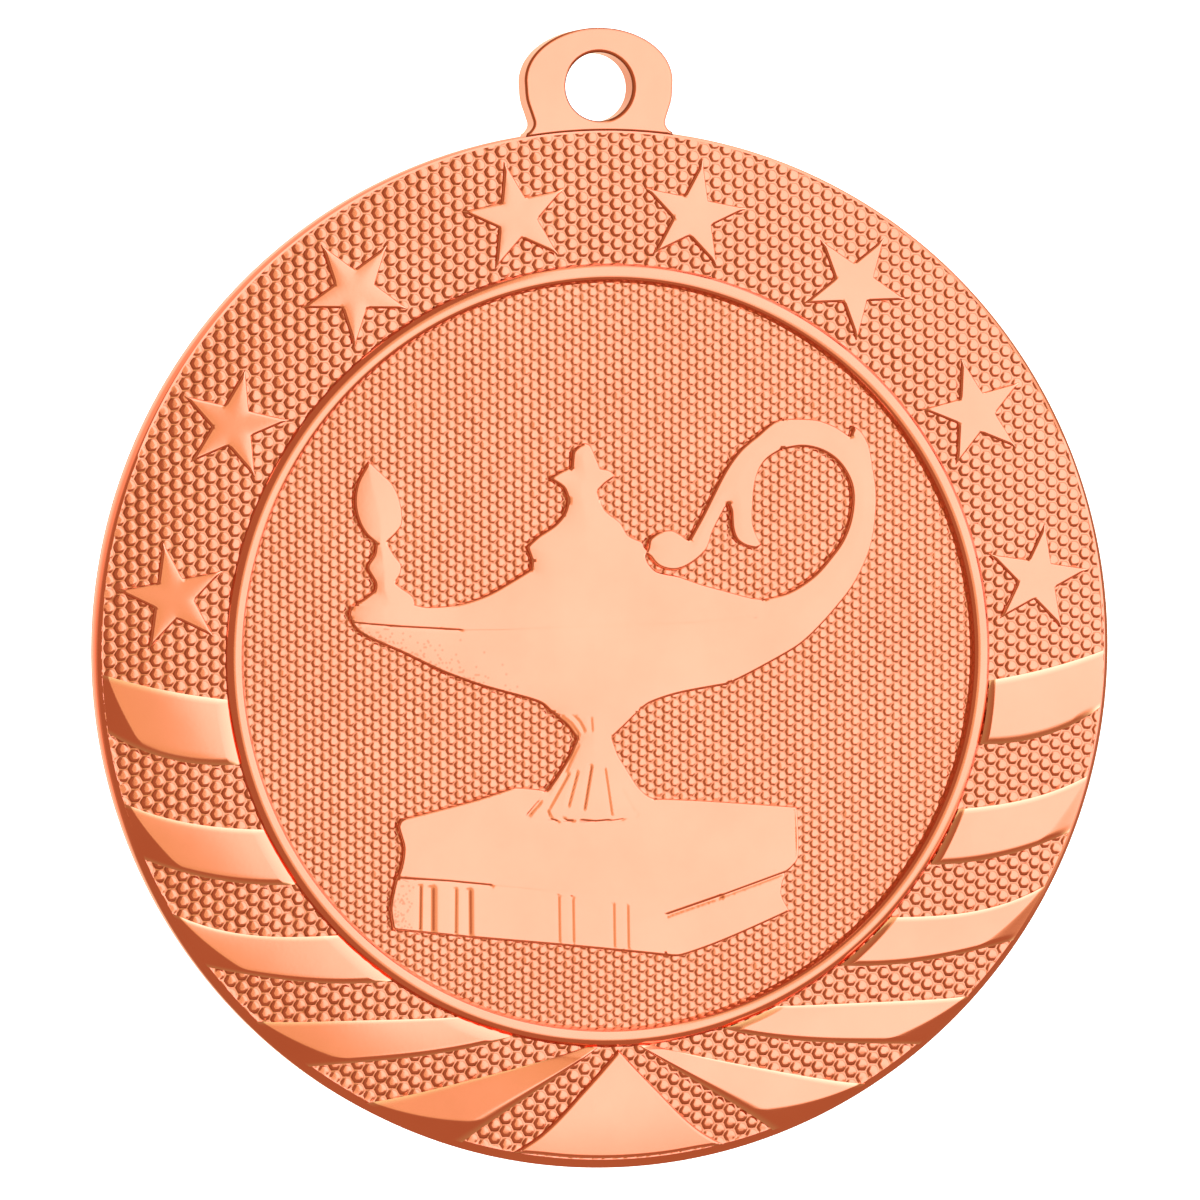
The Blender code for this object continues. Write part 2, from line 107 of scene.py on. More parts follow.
# Raised shapes: width of the painted highlight at an edge, drop to the top of the wall, painted shade on hole
# walls, and dark casting specks
EDGE_HIGHLIGHT = 0.09
WALL_DROP = 0.04
HOLE_SHADE = 0.6
SPECK_STAIN = 0.55

# Beads: their spacing and depth, and the turn and start of the inner lattice
OUTER_PITCH = 0.649
OUTER_DEPTH = 0.054
INNER_PITCH = 0.4789
INNER_TURN_DEG = -0.9
INNER_START = (-0.12, -0.28)
INNER_DEPTH = 0.046
BEAD_FADE = 0.10

rng = np.random.default_rng(11)


def dome(x, z):
    """Height of the outer field: nearly flat at the ring, falling towards the rim."""
    reach = np.maximum(0.0, np.hypot(x, z) - RING_OUT) / (RIM_R - RING_OUT)
    return FIELD_H - FIELD_FALL * reach * reach


# ---------------------------------------------------------------- metal

def add(nodes, kind, **inputs):
    node = nodes.new(kind)
    for key, value in inputs.items():
        node.inputs[key].default_value = value
    return node


def copper(name, roughness, grain, mottling):
    """Plated copper with fine grain: painted shade and dark casting specks in recesses, and a painted
    highlight on edges and walls.
    """
    metal = bpy.data.materials.new(name)
    metal.use_nodes = True
    nodes = metal.node_tree.nodes
    links = metal.node_tree.links
    shader = nodes["Principled BSDF"]
    shader.inputs["Metallic"].default_value = 1.0
    shader.inputs["Coat Roughness"].default_value = 0.18
    shader.inputs["Coat IOR"].default_value = 1.7
    place = nodes.new("ShaderNodeTexCoord")

    cloud = add(nodes, "ShaderNodeTexNoise", Scale=160.0, Detail=4.0, Roughness=0.6)
    links.new(place.outputs["Object"], cloud.inputs["Vector"])
    tint = nodes.new("ShaderNodeValToRGB")
    tint.color_ramp.elements[0].position = 0.30
    tint.color_ramp.elements[0].color = (0.88, 0.255, 0.150, 1.0)
    tint.color_ramp.elements[1].position = 0.70
    tint.color_ramp.elements[1].color = (0.93, 0.285, 0.175, 1.0)
    links.new(cloud.outputs["Fac"], tint.inputs["Fac"])

    # Painted shade: the colour darkens to a dark brown where the mesh marks recesses, and dark casting specks
    # come the same way
    shade_and_specks = nodes.new("ShaderNodeAttribute")
    shade_and_specks.attribute_name = "shade_and_specks"
    shaded_colour = nodes.new("ShaderNodeMix")
    shaded_colour.data_type = "RGBA"
    shaded_colour.inputs["B"].default_value = (0.34, 0.115, 0.045, 1.0)
    links.new(shade_and_specks.outputs["Fac"], shaded_colour.inputs["Factor"])
    links.new(tint.outputs["Color"], shaded_colour.inputs["A"])
    lacquer = add(nodes, "ShaderNodeMapRange")
    lacquer.inputs["To Min"].default_value = 0.6
    lacquer.inputs["To Max"].default_value = 0.0
    links.new(shade_and_specks.outputs["Fac"], lacquer.inputs["Value"])
    links.new(lacquer.outputs["Result"], shader.inputs["Coat Weight"])
    # Painted highlight: the colour pales towards a pale peach where the mesh marks edges, walls and lit sides
    painted_highlight = nodes.new("ShaderNodeAttribute")
    painted_highlight.attribute_name = "painted_highlight"
    highlighted = nodes.new("ShaderNodeMix")
    highlighted.data_type = "RGBA"
    highlighted.inputs["B"].default_value = (0.95, 0.520, 0.340, 1.0)
    links.new(painted_highlight.outputs["Fac"], highlighted.inputs["Factor"])
    links.new(shaded_colour.outputs["Result"], highlighted.inputs["A"])
    links.new(highlighted.outputs["Result"], shader.inputs["Base Color"])

    smears = add(nodes, "ShaderNodeTexNoise", Scale=900.0, Detail=5.0, Roughness=0.65)
    links.new(place.outputs["Object"], smears.inputs["Vector"])
    gloss = add(nodes, "ShaderNodeMapRange")
    gloss.inputs["To Min"].default_value = roughness - mottling
    gloss.inputs["To Max"].default_value = roughness + mottling
    links.new(smears.outputs["Fac"], gloss.inputs["Value"])
    links.new(gloss.outputs["Result"], shader.inputs["Roughness"])

    fine = add(nodes, "ShaderNodeTexNoise", Scale=5200.0, Detail=3.0, Roughness=0.55)
    links.new(place.outputs["Object"], fine.inputs["Vector"])
    bump = add(nodes, "ShaderNodeBump", Strength=1.0, Distance=grain)
    links.new(fine.outputs["Fac"], bump.inputs["Height"])
    links.new(bump.outputs["Normal"], shader.inputs["Normal"])
    return metal


bead_metal = copper("copper_beads", 0.17, 0.0000018, 0.04)
relief_metal = copper("copper_relief", 0.13, 0.0000009, 0.03)
blank_metal = copper("copper_blank", 0.15, 0.0000010, 0.03)


# ---------------------------------------------------------------- mesh helpers

def make_piece(name, nodes, metal, points, faces, shade_and_specks=None, highlight_share=None, sharp_deg=55.0):
    """A smooth metal piece from points (x, z, h) that stands for CAD nodes."""
    x, z, h = np.asarray(points, float).T
    coords = np.column_stack(((x + CENTRE_X) * MM, (BACK_Y - h) * MM, (z + CENTRE_Z) * MM))
    mesh = bpy.data.meshes.new(name)
    mesh.from_pydata(coords.tolist(), [], faces)
    # Two marks on each piece: painted shade with dark casting specks, and painted highlight
    for mark, values in (("shade_and_specks", shade_and_specks), ("painted_highlight", highlight_share)):
        if values is not None:
            shade = mesh.attributes.new(mark, "FLOAT", "POINT")
            shade.data.foreach_set("value", np.asarray(values, np.float32))
    mesh.materials.append(metal)
    mesh.shade_smooth()
    mesh.set_sharp_from_angle(angle=math.radians(sharp_deg))
    piece = bpy.data.objects.new(name, mesh)
    bpy.context.scene.collection.objects.link(piece)
    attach(piece, "root")
    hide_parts(*nodes)
    return piece


def outlines(node):
    """The closed outlines of a CAD node's underside, largest first, anticlockwise."""
    mesh = frame["nodes"][node].data
    edges = {}
    for face in mesh.polygons:
        if face.normal.y < 0.9:
            continue
        ring = []
        for k in face.vertices:
            co = mesh.vertices[k].co
            ring.append((round(co.x / MM - CENTRE_X, 4), round(co.z / MM - CENTRE_Z, 4)))
        for a, b in zip(ring, ring[1:] + ring[:1]):
            edges[(a, b)] = True
    follow = {b: a for a, b in edges if (b, a) not in edges}
    loops = []
    while follow:
        start = next(iter(follow))
        loop = [start]
        point = follow.pop(start)
        while point != start and point in follow:
            loop.append(point)
            point = follow.pop(point)
        loops.append(loop)
    loops.sort(key=lambda loop: -abs(area(loop)))
    return [loop if area(loop) > 0 else loop[::-1] for loop in loops]


def area(loop):
    return 0.5 * sum(a[0] * b[1] - b[0] * a[1] for a, b in zip(loop, loop[1:] + loop[:1]))


def hermite(knots, slopes, step):
    """A smooth line through knots that have unit slopes, sampled about every step."""
    line = []
    for b, c, m, n in zip(knots, knots[1:], slopes, slopes[1:]):
        span = (c - b).length
        count = max(1, int(math.ceil(span / step)))
        for s in range(count):
            t = s / count
            point = b * (2 * t ** 3 - 3 * t ** 2 + 1) + c * (3 * t ** 2 - 2 * t ** 3)
            point += m * span * (t ** 3 - 2 * t ** 2 + t) + n * span * (t ** 3 - t ** 2)
            line.append((point.x, point.y))
    return line


def smooth_loop(loop, step, corner_deg=32.0):
    """A closed outline drawn smoothly between its corners."""
    knots = [Vector(p) for p in loop]
    count = len(knots)
    turns = []
    for i in range(count):
        u = knots[i] - knots[i - 1]
        v = knots[(i + 1) % count] - knots[i]
        turns.append(abs(math.degrees(math.atan2(u.x * v.y - u.y * v.x, u.dot(v)))))
    corners = [i for i in range(count) if turns[i] > corner_deg]
    if not corners:
        ring = knots + knots[:1]
        slopes = [(knots[(i + 1) % count] - knots[i - 1]).normalized() for i in range(count)]
        return hermite(ring, slopes + slopes[:1], step)
    line = []
    for start, end in zip(corners, corners[1:] + [corners[0] + count]):
        part = [knots[k % count] for k in range(start, end + 1)]
        last = len(part) - 1
        slopes = [(part[min(i + 1, last)] - part[max(i - 1, 0)]).normalized() for i in range(last + 1)]
        line += hermite(part, slopes, step)
    return line


def sides(loops):
    """The edges of closed loops, as pairs of end points."""
    return [(a, b) for loop in loops for a, b in zip(loop, loop[1:] + loop[:1])]


def distance(points, edges):
    """Distance of each point from the nearest of some straight edges."""
    points = np.asarray(points, float)
    best = np.full(len(points), 1e9)
    for a, b in edges:
        start = np.asarray(a, float)
        step = np.asarray(b, float) - start
        span = max(float(step @ step), 1e-12)
        t = np.clip(((points - start) @ step) / span, 0.0, 1.0)
        best = np.minimum(best, np.hypot(*(points - start - t[:, None] * step).T))
    return best


def line_distance(points, line):
    """Distance of each point from an open line."""
    return distance(points, list(zip(line, line[1:])))


def inside(points, loop):
    """Which points lie inside a closed loop."""
    x, z = np.asarray(points, float).T
    hit = np.zeros(len(x), bool)
    for (ax, az), (bx, bz) in zip(loop, loop[1:] + loop[:1]):
        if az == bz:
            continue
        crosses = (az > z) != (bz > z)
        hit ^= crosses & (x < (bx - ax) * (z - az) / (bz - az) + ax)
    return hit


def relief(name, nodes, metal, loops, top, base, step, edge,
           free=None, edge_shade=0.0, specks=None, backed=False):
    """A raised shape inside an outline, with any holes, closed by walls that go down to a base height.

    top(x, z, d) gives its height, where d is the distance from its free edges: by default, all of them.
    Edges carry a painted highlight, or painted shade over a given width. The walls of holes carry painted
    shade in either case.
    specks(x, z, d) gives the share of points that carry a dark casting speck.
    A backed shape has a flat face at its base too.
    """
    borders = sides(loops)
    free = free or borders
    outer = loops[0]
    found = []
    for loop in loops:
        a = np.asarray(loop, float)
        along = np.roll(a, -1, 0) - np.roll(a, 1, 0)
        along /= np.maximum(np.hypot(*along.T), 1e-9)[:, None]
        inward = np.column_stack((-along[:, 1], along[:, 0]))
        if loop is not outer:
            inward = -inward
        for width in edge:
            moved = a + inward * width
            kept = inside(moved, outer) & (distance(moved, borders) > 0.93 * width)
            found.append(moved[kept])
    low = np.min(np.asarray(outer), 0)
    high = np.max(np.asarray(outer), 0)
    row_z = np.arange(low[1], high[1], step * 0.866)
    col_x = np.arange(low[0], high[0] + step, step)
    grid_x, grid_z = np.meshgrid(col_x, row_z)
    grid_x = grid_x + 0.5 * step * (np.arange(len(row_z)) % 2)[:, None]
    grid = np.column_stack((grid_x.ravel(), grid_z.ravel()))
    grid = grid[inside(grid, outer)]
    grid = grid[distance(grid, borders) > edge[-1] + 0.45 * step]
    found.append(grid)
    points = [p for loop in loops for p in loop]
    rims = []
    start = 0
    for loop in loops:
        rims.append(list(range(start, start + len(loop))))
        start += len(loop)
    hole_edges = [pair for rim in rims[1:] for pair in zip(rim, rim[1:] + rim[:1])]
    extra = np.vstack(found)
    everything = [Vector(p) for p in points] + [Vector(p) for p in extra]
    made = delaunay_2d_cdt(everything, hole_edges, [rims[0]], 1, 1e-6)
    flat = np.array([tuple(p) for p in made[0]])
    index = {k: out for out, origin in enumerate(made[3]) for k in origin}
    tris = np.array([t for t in made[2] if len(t) == 3])
    middle = flat[tris].mean(1)
    for loop in loops[1:]:
        kept = ~inside(middle, loop)
        tris = tris[kept]
        middle = middle[kept]
    x, z = flat.T
    d = distance(flat, free)
    upper = np.column_stack((x, z, top(x, z, d)))
    faces = tris.tolist()
    under = []
    # Painted shade along the edges over the given width, with dark casting specks mixed in
    shade_and_speck_share = list(np.clip(1.0 - d / max(edge_shade, 1e-9), 0.0, 1.0))
    if specks is not None:
        marked = rng.random(len(x)) < specks(x, z, d)
        shade_and_speck_share = list(np.maximum(shade_and_speck_share, SPECK_STAIN * marked))
    # Painted highlight along the edges, left off where the edges carry painted shade
    highlight_share = list(np.clip(1.0 - d / EDGE_HIGHLIGHT, 0.0, 1.0) * (edge_shade == 0.0))
    count = len(upper)
    # Hole edges carry painted shade
    for rim in rims[1:]:
        for k in rim:
            shade_and_speck_share[index[k]] = HOLE_SHADE
            highlight_share[index[k]] = 0.0
    for loop, rim in zip(loops, rims):
        first = count + len(under)
        # Outer walls carry the painted highlight unless the edges carry painted shade; hole walls carry
        # painted shade
        plain = loop is outer and edge_shade == 0.0
        size = len(rim)
        shade_and_speck_share += [0.0 if loop is outer else HOLE_SHADE] * (2 * size)
        highlight_share += [1.0 if plain else 0.0] * (2 * size)
        under += [(px, pz, upper[index[k], 2] - WALL_DROP) for k, (px, pz) in zip(rim, loop)]
        under += [(px, pz, base) for px, pz in loop]
        for k in range(size):
            n = (k + 1) % size
            faces.append([index[rim[n]], index[rim[k]], first + k, first + n])
            faces.append([first + n, first + k, first + size + k, first + size + n])
    if backed:
        first = count + len(under)
        under += [(px, pz, base) for px, pz in flat.tolist()]
        shade_and_speck_share += [0.0] * count
        highlight_share += [0.0] * count
        faces += (tris[:, ::-1] + first).tolist()
    return make_piece(name, nodes, metal, np.vstack((upper, np.array(under))), faces, shade_and_speck_share, highlight_share)


def lathe(name, nodes, metal, profile, segments=720):
    """A closed profile of (radius, centre z, height, painted highlight), from the back outwards, spun about
    the normal.
    """
    points = []
    rings = []
    highlight_share = []
    for radius, centre_z, height, painted_highlight in profile:
        count = 1 if radius < 1e-6 else segments
        rings.append(list(range(len(points), len(points) + count)))
        highlight_share += [painted_highlight] * count
        for k in range(count):
            a = 2.0 * math.pi * k / segments
            points.append((radius * math.cos(a), centre_z + radius * math.sin(a), height))
    faces = []
    for low, high in zip(rings, rings[1:] + rings[:1]):
        if len(low) == 1 and len(high) == 1:
            continue
        for k in range(segments):
            n = (k + 1) % segments
            corners = [low[k % len(low)], low[n % len(low)], high[n % len(high)], high[k % len(high)]]
            faces.append(list(dict.fromkeys(corners)))
    return make_piece(name, nodes, metal, points, faces, None, highlight_share)


# ---------------------------------------------------------------- beads

def bead_cell(rings):
    """One six-sided cell of half width 1: points (u, v, sink, painted shade) and triangles.

    rings lists (count, radius, sink, painted shade) from the middle out; a radius of None is the cell's
    border.
    """
    points = [(0.0, 0.0, 0.0, 0.0)]
    tris = []
    before = [0]
    for count, radius, sink, shade_and_speck_share in rings:
        ring = []
        for k in range(count):
            a = 2.0 * math.pi * k / count
            r = radius
            if radius is None:
                off = (a + math.pi / 6) % (math.pi / 3) - math.pi / 6
                r = 1.0 / math.cos(math.pi / 6 - abs(off))
            ring.append(len(points))
            points.append((r * math.cos(a), r * math.sin(a), sink, shade_and_speck_share))
        if len(before) == 1:
            tris += [(0, ring[k], ring[(k + 1) % count]) for k in range(count)]
        else:
            ratio = count // len(before)
            for k in range(len(before)):
                n = (k + 1) % len(before)
                fan = [ring[(k * ratio + s) % count] for s in range(ratio + 1)]
                half = (ratio + 1) // 2
                for s in range(half):
                    tris.append((before[k], fan[s], fan[s + 1]))
                tris.append((before[k], fan[half], before[n]))
                for s in range(half, ratio):
                    tris.append((before[n], fan[s], fan[s + 1]))
        before = ring
    return np.array(points), np.array(tris), len(before)


def lattice(pitch, turn_deg, reach):
    """Centres of a six-sided lattice with upright columns."""
    count = int(reach / pitch) + 3
    i, j = np.meshgrid(np.arange(-count - 4, count + 5), np.arange(-count, count + 1))
    u = i.ravel() * pitch * math.sqrt(0.75)
    v = (j.ravel() + 0.5 * (i.ravel() % 2)) * pitch
    a = math.radians(turn_deg)
    return np.column_stack((u * math.cos(a) - v * math.sin(a), u * math.sin(a) + v * math.cos(a)))


def bead_field(name, nodes, centres, pitch, turn_deg, depth, rings, ground, limit=None):
    """A sheet of beads on a ground height, fading into a smooth band near a limit radius."""
    cell, tris, border = bead_cell(rings)
    a = math.radians(turn_deg)
    local = cell[:, :2] * 0.5 * pitch
    turned = np.column_stack((local[:, 0] * math.cos(a) - local[:, 1] * math.sin(a),
                              local[:, 0] * math.sin(a) + local[:, 1] * math.cos(a)))
    spots = centres[:, None, :] + turned[None, :, :]
    tilt = rng.normal(0.0, 0.022, (len(centres), 2))
    lift = (local[None, :, :] * tilt[:, None, :]).sum(2) + rng.normal(0.0, 0.003, (len(centres), 1))
    lift[:, -border:] = 0.0
    sink = np.broadcast_to(cell[:, 2], lift.shape).copy()
    shade_and_speck_share = np.broadcast_to(cell[:, 3], lift.shape).ravel()
    faces = tris[None, :, :] + (np.arange(len(centres)) * len(cell))[:, None, None]
    faces = faces.reshape(-1, 3)
    points = spots.reshape(-1, 2)
    sink = sink.ravel()
    lift = lift.ravel()
    fade = np.ones(len(points))
    if limit is not None:
        middle = np.array((0.0, BAND_Z))
        r = np.hypot(*(points - middle).T)
        fade = np.clip((limit - 0.02 - r) / BEAD_FADE, 0.0, 1.0)
        points = middle + (points - middle) * np.minimum(1.0, limit / np.maximum(r, 1e-9))[:, None]
    keys = np.round(points / 0.002).astype(np.int64)
    unique, first, back = np.unique(keys, axis=0, return_index=True, return_inverse=True)
    back = back.reshape(-1)
    faces = back[faces]
    points = points[first]
    sink = (sink * fade)[first]
    shade_and_speck_share = (shade_and_speck_share * fade)[first]
    lift = (lift * fade)[first]
    corner = points[faces]
    size = np.cross(corner[:, 1] - corner[:, 0], corner[:, 2] - corner[:, 0])
    faces = faces[size > 1e-6]
    used = np.unique(faces)
    renumber = np.full(len(points), -1)
    renumber[used] = np.arange(len(used))
    points = points[used]
    heights = ground(points[:, 0], points[:, 1]) - depth * sink[used] + lift[used]
    everything = np.column_stack((points, heights))
    make_piece(name, nodes, bead_metal, everything, renumber[faces].tolist(), shade_and_speck_share[used], None, 75.0)


def uncovered(centres, names, pitch):
    """The centres whose cells aren't wholly under one of the named CAD nodes."""
    for name in names:
        loop = outlines(name)[0]
        hidden = inside(centres, loop) & (distance(centres, sides([loop])) > 0.62 * pitch)
        centres = centres[~hidden]
    return centres


STARS = ["star_%d" % k for k in range(1, 9)]
RAYS = ["ray_%s_%d" % (side, k) for side in ("right", "left") for k in range(1, 6)]
LAMP = ["flame", "burner", "lamp_bowl", "lamp_shoulder", "lamp_lid", "lid_finial", "handle_scroll",
        "handle_arm", "lamp_foot"]
BOOKS = ["upper_book", "lower_book_spine", "lower_book_pages"]


def build_fields():
    """The beaded ground outside the ring, and the finer one inside it."""
    centres = lattice(OUTER_PITCH, 0.0, DISC_R)
    r = np.hypot(centres[:, 0], centres[:, 1] - BAND_Z)
    r_art = np.hypot(centres[:, 0], centres[:, 1] - ART_Z)
    centres = centres[(r < BAND_R + 0.25) & (r_art > RING_OUT - 0.35)]
    centres = uncovered(centres, STARS + RAYS + ["ray_bottom"], OUTER_PITCH)
    # Rings of each bead: count, radius, sink, and painted shade, strongest low on the flank between beads
    rings = [(6, 0.42, 0.06, 0.0), (12, 0.77, 0.26, 0.12), (12, 0.89, 1.0, 0.7), (12, None, 0.80, 0.08)]
    bead_field("outer_beads", ["outer_field"], centres, OUTER_PITCH, 0.0, OUTER_DEPTH,
               rings, dome, BAND_R)

    centres = lattice(INNER_PITCH, INNER_TURN_DEG, RING_IN)
    centres += np.array(INNER_START)
    r_art = np.hypot(centres[:, 0], centres[:, 1] - ART_Z)
    centres = centres[r_art < RING_IN + 0.25]
    centres = uncovered(centres, LAMP + BOOKS, INNER_PITCH)
    # The same for the finer beads, with the painted shade strongest at the cell border
    rings = [(6, 0.46, 0.07, 0.0), (12, 0.80, 0.30, 0.12), (12, None, 1.0, 0.68)]
    bead_field("centre_beads", ["centre_field"], centres, INNER_PITCH, INNER_TURN_DEG,
               INNER_DEPTH, rings, lambda x, z: np.full_like(x, CENTRE_H))


def build_blank():
    """The blank with its back, wall and rounded rim, and the ring between the two fields."""
    profile = [(0.0, 0.0, 0.0, 0.0), (DISC_R - 0.25, 0.0, 0.0, 0.0), (DISC_R - 0.14, 0.0, 0.025, 0.0),
               (DISC_R - 0.05, 0.0, 0.10, 0.0), (DISC_R, 0.0, 0.25, 0.0)]
    for k in range(9):
        t = k / 8
        lift = t + 0.10 * math.sin(math.pi * t)
        radius = DISC_R + (BAND_R - DISC_R) * t
        profile.append((radius, BAND_Z * t, WALL_TOP + (RIM_H - WALL_TOP) * lift, 0.0))
    profile += [(BAND_R - 0.10, BAND_Z, RIM_H - 0.01, 0.0), (BAND_R - 0.10, BAND_Z, SEAT_H, 0.0),
                (0.0, 0.0, SEAT_H, 0.0)]
    lathe("blank", ["planchet"], blank_metal, profile)
    knots = [Vector((RING_IN + share * (RING_OUT - RING_IN), height)) for share, height in RING_SECTION]
    last = len(knots) - 1
    slopes = [(knots[min(i + 1, last)] - knots[max(i - 1, 0)]).normalized() for i in range(last + 1)]
    profile = [(RING_IN, ART_Z, SEAT_H, 1.0), (RING_OUT, ART_Z, SEAT_H, 1.0)]
    # The ring's inner and outer flanks carry a painted highlight
    for radius, height in hermite(knots, slopes, 0.05) + [tuple(knots[-1])]:
        share = (radius - RING_IN) / (RING_OUT - RING_IN)
        profile.append((radius, ART_Z, height, max(0.0, 1.0 - share / 0.2, (share - 0.88) / 0.12)))
    lathe("ring", ["inner_ring"], relief_metal, profile)


def build_lug():
    """The pierced lug, with softened edges, painted shade along its edges, and painted shade on its bore
    wall.
    """
    loops = outlines("suspension_lug")
    drawn = [smooth_loop(loop, 0.14) for loop in loops[:2]]
    foot = DISC_R - LUG_FOOT_IN
    body = []
    for px, pz in drawn[0]:
        far = math.hypot(px, pz)
        share = foot / far if far < DISC_R + 0.06 else 1.0
        body.append((px * share, pz * share))
    bore_x, bore_z = np.mean(np.asarray(drawn[1]), 0)
    drawn[0] = body
    drawn[1] = [(bore_x + BORE_WORN * (px - bore_x), bore_z + BORE_WORN * (pz - bore_z))
                for px, pz in drawn[1]]
    bore = sides([drawn[1]])

    def top(x, z, d):
        rounded = 0.11 * (1.0 - np.sqrt(np.maximum(0.0, 1.0 - (1.0 - np.minimum(1.0, d / 0.13)) ** 2)))
        at_bore = distance(np.column_stack((x, z)), bore)
        worn_bore = 0.09 * np.maximum(0.0, 1.0 - at_bore / 0.13)
        return LUG_FACE - np.maximum(rounded, worn_bore)

    # The lug's edges carry painted shade 0.12 mm wide, and its bore wall carries painted shade
    relief("lug", ["suspension_lug"], blank_metal, drawn, top, LUG_BACK, 0.14,
           (0.03, 0.065, 0.10, 0.13, 0.19), edge_shade=0.12, backed=True)


def build_stars():
    """Eight flat stars with a sloping edge, lying on the domed field."""
    for name in STARS:
        loop = outlines(name)[0]
        cx, cz = np.mean(np.asarray(loop), 0)
        radius = math.hypot(cx, cz)
        ux, uz = cx / radius, cz / radius
        seat = float(dome(cx, cz))
        slope = float(dome(cx + 0.1 * ux, cz + 0.1 * uz) - dome(cx - 0.1 * ux, cz - 0.1 * uz)) / 0.2

        def top(x, z, d, cx=cx, cz=cz, ux=ux, uz=uz, seat=seat, slope=slope):
            plane = seat + slope * ((x - cx) * ux + (z - cz) * uz)
            t = np.minimum(1.0, d / 0.09)
            return plane + 0.02 + 0.11 * (1.0 - (1.0 - t) ** 1.5) + 0.020 * (1.0 - np.exp(-d / 0.20))

        relief(name + "_face", [name], relief_metal, [smooth_loop(loop, 0.13)], top, SEAT_H,
               0.13, (0.025, 0.055, 0.09, 0.15))


def edge_polynomials(name):
    """A ray's upper and lower edge as cubics: bearing against the share of the way to the rim."""
    loop = outlines(name)[0]
    shares = []
    bearings = []
    for x, z in loop:
        low, high = -0.2, 1.2
        for _ in range(40):
            u = 0.5 * (low + high)
            r = math.hypot(x, z - ART_Z * (1.0 - u))
            if r > RING_OUT + 0.03 + (RAY_END_R - RING_OUT - 0.03) * u:
                low = u
            else:
                high = u
        shares.append(u)
        bearings.append(math.atan2(x, -(z - ART_Z * (1.0 - u))))
    shares = np.array(shares)
    bearings = np.array(bearings)
    count = len(loop)
    inner = [i for i in range(count) if shares[i] < 0.006]
    outer = [i for i in range(count) if shares[i] > 0.994]
    a = next(i for i in inner if (i + 1) % count not in inner)
    b = next(i for i in outer if (i + 1) % count not in outer)
    runs = []
    for start, stop in ((a, outer), (b, inner)):
        run = [start]
        while run[-1] not in stop:
            run.append((run[-1] + 1) % count)
        runs.append(run)
    fits = [np.polyfit(shares[run], bearings[run], 3) for run in runs]
    means = [np.mean([loop[i][1] for i in run]) for run in runs]
    return fits if means[0] > means[1] else fits[::-1]


def build_rays():
    """Rays that start flush with the beads along their upper edge and end in a wall along the lower one."""
    across = np.concatenate((np.linspace(0.0, 0.9, 28), [0.925, 0.95, 0.97, 0.985, 1.0]))
    along = np.concatenate((np.linspace(0.0, 0.10, 12), np.linspace(0.12, 1.0, 70)))
    for name in RAYS:
        upper, lower = edge_polynomials(name)
        u, v = np.meshgrid(along, across, indexing="ij")
        bearing = np.polyval(upper, u) * (1.0 - v) + np.polyval(lower, u) * v
        near = RING_OUT - 0.02
        radius = near + (RAY_END_R - near) * u
        x = radius * np.sin(bearing)
        z = ART_Z * (1.0 - u) - radius * np.cos(bearing)
        rise = 0.07 + 0.29 * v ** 0.8 - 0.15 * np.clip((v - 0.82) / 0.18, 0.0, 1.0) ** 2
        turn = 0.965 - 0.23 * v ** 1.3
        droop = 0.22 * u ** 2 + 0.78 * np.clip((u - turn) / (1.0 - turn), 0.0, 1.0) ** 1.3
        climb = 0.26 if name.startswith("ray_right") else 0.50
        start = np.clip((np.hypot(x, z - ART_Z) - RING_OUT) / climb, 0.0, 1.0)
        h = dome(x, z) + 0.03 + rise * (1.0 - droop) * (0.4 + 0.6 * start)
        rows, cols = x.shape
        tops = np.column_stack((x.ravel(), z.ravel(), h.ravel()))
        flip = name.startswith("ray_right")
        faces = []
        for i in range(rows - 1):
            for k in range(cols - 1):
                quad = [i * cols + k, i * cols + k + 1, (i + 1) * cols + k + 1, (i + 1) * cols + k]
                faces.append(quad if not flip else quad[::-1])
        rim = list(range(cols))
        rim += [i * cols + cols - 1 for i in range(1, rows)]
        rim += [(rows - 1) * cols + k for k in range(cols - 2, -1, -1)]
        rim += [i * cols for i in range(rows - 2, 0, -1)]
        first = len(tops)
        under = [(tops[k][0], tops[k][1], SEAT_H) for k in rim]
        # Painted highlight: along both long edges, on the walls, and over the inner ends, fully on the right
        # rays and weakly on the left ones
        highlighted = 1.0 if name.startswith("ray_right") else 0.35
        edge_highlight = np.clip(1.0 - 12.0 * np.minimum(v, 1.0 - v), 0.0, 1.0)
        highlight_share = np.maximum(edge_highlight, highlighted * (1.0 - start)).ravel()
        highlight_share = np.concatenate((highlight_share, np.ones(len(rim))))
        for k in range(len(rim)):
            n = (k + 1) % len(rim)
            side = [rim[n], rim[k], first + k, first + n]
            faces.append(side if not flip else side[::-1])
        make_piece(name + "_face", [name], relief_metal, np.vstack((tops, under)), faces,
                   None, highlight_share, 40.0)
    loop = outlines("ray_bottom")[0]

    def top(x, z, d):
        t = np.minimum(1.0, d / 0.12)
        return dome(x, z) + 0.02 + 0.15 * (1.0 - (1.0 - t) ** 1.5)

    relief("ray_bottom_face", ["ray_bottom"], relief_metal, [smooth_loop(loop, 0.16)], top,
           SEAT_H, 0.16, (0.03, 0.06, 0.09, 0.13, 0.20))


# ---------------------------------------------------------------- lamp and books

def groove(x, z, line, width, depth):
    """A rounded scratch along a line."""
    far = line_distance(np.column_stack((x, z)), line)
    return depth * np.exp(-(far / width) ** 2)


